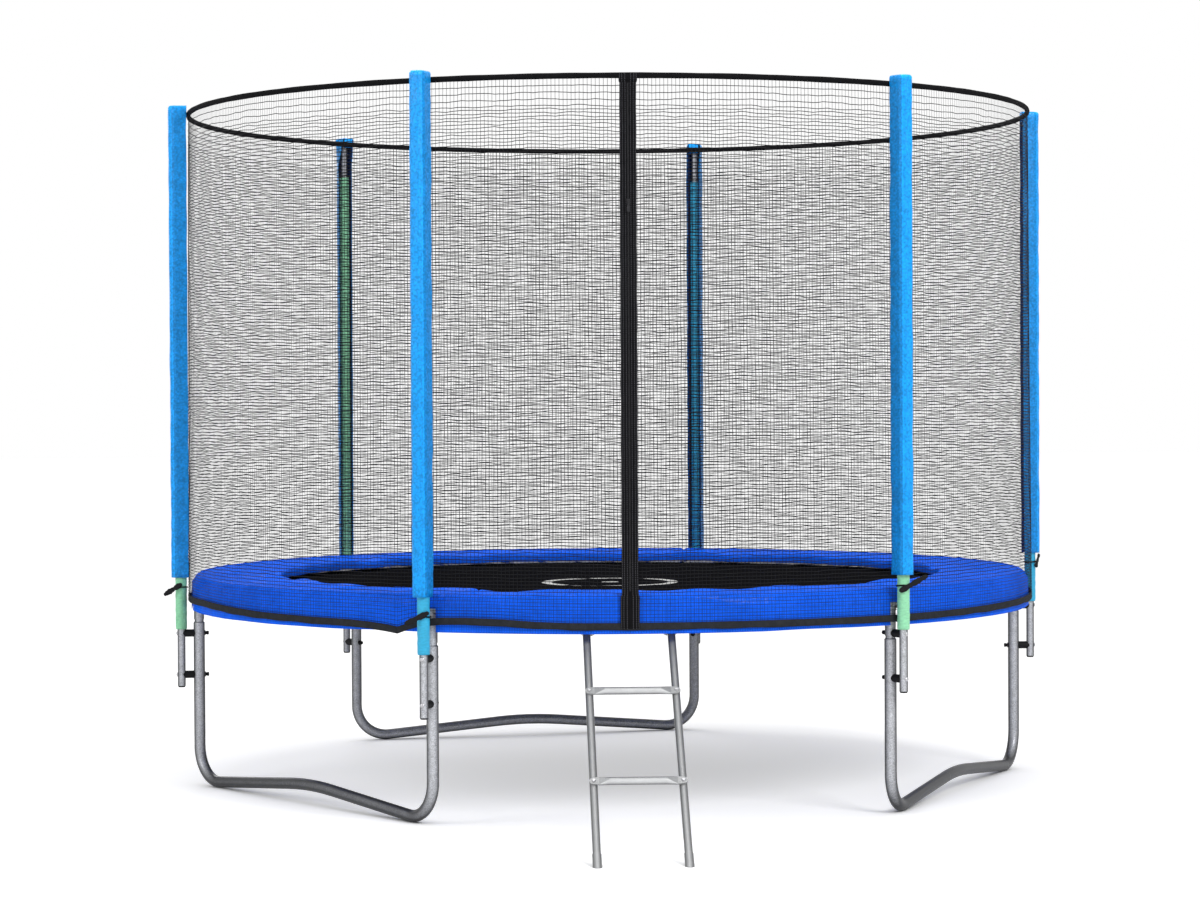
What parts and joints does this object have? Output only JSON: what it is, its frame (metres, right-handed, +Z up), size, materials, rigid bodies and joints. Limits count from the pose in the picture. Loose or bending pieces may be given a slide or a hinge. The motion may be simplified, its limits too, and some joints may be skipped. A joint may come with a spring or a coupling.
{
  "type": "trampoline",
  "caption": "Round garden trampoline with bent tube legs, a sprung mat, a padded edge, a net enclosure on sleeved poles, a zipped door and a hook-on ladder.",
  "frame": {"origin": "on the ground, under the middle of the ring", "axes": "+Z up, -Y towards the door and the ladder, +X to the right when you face the door"},
  "size_m": [3.2053, 3.8374, 2.426],
  "materials": {
    "galvanised_steel": "galvanised, finely speckled, satin",
    "ladder_steel": "light grey powder coat, satin",
    "zinc_hardware": "zinc plated",
    "spring_steel": "bright zinc",
    "black_plastic": "moulded, matte",
    "green_foam_skin": "foam tube in a thin glossy film, mint green",
    "cyan_foam_skin": "foam tube in a thin glossy film, cyan",
    "azure_vinyl": "coated woven vinyl with a pebbled surface, azure",
    "royal_blue_vinyl": "coated woven vinyl with a visible grid, royal blue",
    "black_netting": "knotted black netting",
    "black_webbing": "woven webbing",
    "fibreglass": "pultruded rod",
    "mat_fabric": "dense black woven polypropylene",
    "zip_plastic": "moulded"
  },
  "bodies": {
    "frame": {"ring_segment_1": "galvanised_steel", "ring_segment_2": "galvanised_steel", "ring_segment_3": "galvanised_steel", "ring_segment_4": "galvanised_steel", "ring_segment_5": "galvanised_steel", "ring_segment_6": "galvanised_steel", "leg_tube_1": "galvanised_steel", "leg_tube_2": "galvanised_steel", "leg_tube_3": "galvanised_steel", "leg_tube_4": "galvanised_steel", "leg_tube_5": "galvanised_steel", "leg_tube_6": "galvanised_steel", "leg_base_1": "galvanised_steel", "leg_base_2": "galvanised_steel", "leg_base_3": "galvanised_steel", "pole_lower_1": "galvanised_steel", "pole_lower_2": "galvanised_steel", "pole_lower_3": "galvanised_steel", "pole_lower_4": "galvanised_steel", "pole_lower_5": "galvanised_steel", "pole_lower_6": "galvanised_steel", "pole_upper_1": "galvanised_steel", "pole_upper_2": "galvanised_steel", "pole_upper_3": "galvanised_steel", "pole_upper_4": "galvanised_steel", "pole_upper_5": "galvanised_steel", "pole_upper_6": "galvanised_steel", "pole_sleeve_1": "azure_vinyl", "pole_sleeve_2": "azure_vinyl", "pole_sleeve_3": "azure_vinyl", "pole_sleeve_4": "azure_vinyl", "pole_sleeve_5": "azure_vinyl", "pole_sleeve_6": "azure_vinyl", "foam_green": "green_foam_skin", "foam_cyan": "cyan_foam_skin", "pole_spacers": "black_plastic", "pole_nuts": "black_plastic", "pole_end_plugs": "black_plastic", "tie_toggles": "black_plastic", "pole_bolts": "zinc_hardware", "net_ties": "black_webbing", "net_top_band": "black_webbing", "net_hem_band": "black_webbing", "zip_band": "black_webbing", "net_wall": "black_netting", "net_top_hoop": "fibreglass", "mat_springs": "spring_steel", "safety_pad": "royal_blue_vinyl", "pad_skirt": "royal_blue_vinyl"},
    "mat": {"jump_mat": "mat_fabric", "mat_edge_band": "black_webbing", "mat_rings": "spring_steel"},
    "zip_slider_body": {"zip_slider": "zip_plastic"},
    "zip_pull_body": {"zip_pull": "zip_plastic"},
    "ladder": {"ladder_rail_left": "ladder_steel", "ladder_rail_right": "ladder_steel", "ladder_rungs": "ladder_steel", "ladder_hooks": "ladder_steel", "ladder_bolts": "zinc_hardware", "ladder_feet": "ladder_steel"}
  },
  "joints": [
    {"name": "mat_bounce", "type": "slide", "parent": "frame", "child": "mat", "axis": [0, 0, 1], "range_m": [-0.2, 0], "stiffness_N_per_m": 4000, "springref_m": 0.02},
    {"name": "ladder_swing", "type": "hinge", "parent": "frame", "child": "ladder", "pos_m": [0, -1.49518, 0.7], "axis": [1, 0, 0], "range_deg": [-40, 0]},
    {"name": "zip_slide", "type": "slide", "parent": "frame", "child": "zip_slider_body", "axis": [0, 0.0063, 1], "range_m": [-1.2, 0.36]},
    {"name": "zip_pull_swing", "type": "hinge", "parent": "zip_slider_body", "child": "zip_pull_body", "pos_m": [0, -1.53754, 2.00405], "axis": [1, 0, 0], "range_deg": [-150, 0]}
  ]
}
